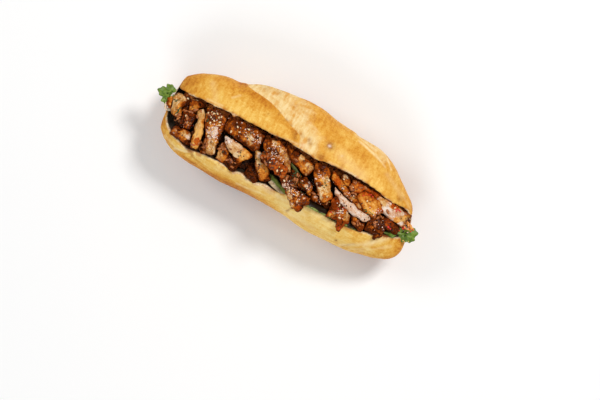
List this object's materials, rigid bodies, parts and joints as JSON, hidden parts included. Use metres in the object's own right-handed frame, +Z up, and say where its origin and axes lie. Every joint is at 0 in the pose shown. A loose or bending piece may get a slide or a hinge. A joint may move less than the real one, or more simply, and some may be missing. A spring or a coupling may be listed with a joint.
{
  "type": "banh mi sandwich",
  "caption": "Crusty baguette roll slit along its length, opened upwards and filled with grilled pork slices, cucumber, coriander and pickled shreds.",
  "frame": {"origin": "middle of the sandwich's outline from above, on the surface that it rests on", "axes": "+X along the roll, +Y towards the half of the roll above the slit, +Z up, out of the open slit"},
  "size_m": [0.2498, 0.0979, 0.0706],
  "materials": {
    "bread_crust": "golden baked crust, satin, paler in the blade cuts, with pale crumb on the cut faces",
    "pork_layer": "dark sauced meat in shadow between the slices",
    "grilled_pork": "glazed, browned and charred, with paler cut faces",
    "cucumber": "moist, pale flesh with a dark green skin",
    "coriander": "fresh green leaf, slightly waxy",
    "carrot": "moist pickled carrot",
    "daikon": "moist, slightly translucent pickled radish"
  },
  "bodies": {
    "root": {"bread_roll": "bread_crust", "carrot_shreds": "carrot", "coriander_left": "coriander", "coriander_right": "coriander", "cucumber_strip_1": "cucumber", "cucumber_strip_2": "cucumber", "cucumber_strip_3": "cucumber", "daikon_shred_left": "daikon", "daikon_shreds": "daikon", "pork_layer": "pork_layer", "pork_slice_01": "grilled_pork", "pork_slice_02": "grilled_pork", "pork_slice_03": "grilled_pork", "pork_slice_04": "grilled_pork", "pork_slice_05": "grilled_pork", "pork_slice_06": "grilled_pork", "pork_slice_07": "grilled_pork", "pork_slice_08": "grilled_pork", "pork_slice_09": "grilled_pork", "pork_slice_10": "grilled_pork", "pork_slice_11": "grilled_pork", "pork_slice_12": "grilled_pork", "pork_slice_13": "grilled_pork", "pork_slice_14": "grilled_pork", "pork_slice_15": "grilled_pork", "pork_slice_16": "grilled_pork", "pork_slice_17": "grilled_pork", "pork_slice_18": "grilled_pork", "pork_slice_19": "grilled_pork", "pork_slice_20": "grilled_pork", "pork_slice_21": "grilled_pork", "pork_slice_22": "grilled_pork", "pork_slice_23": "grilled_pork", "pork_slice_24": "grilled_pork", "pork_slice_25": "grilled_pork", "pork_slice_26": "grilled_pork", "pork_slice_27": "grilled_pork", "pork_slice_28": "grilled_pork", "pork_slice_29": "grilled_pork", "pork_slice_30": "grilled_pork", "pork_slice_31": "grilled_pork", "pork_slice_32": "grilled_pork", "pork_slice_33": "grilled_pork", "pork_slice_34": "grilled_pork", "pork_slice_35": "grilled_pork"}
  },
  "joints": []
}
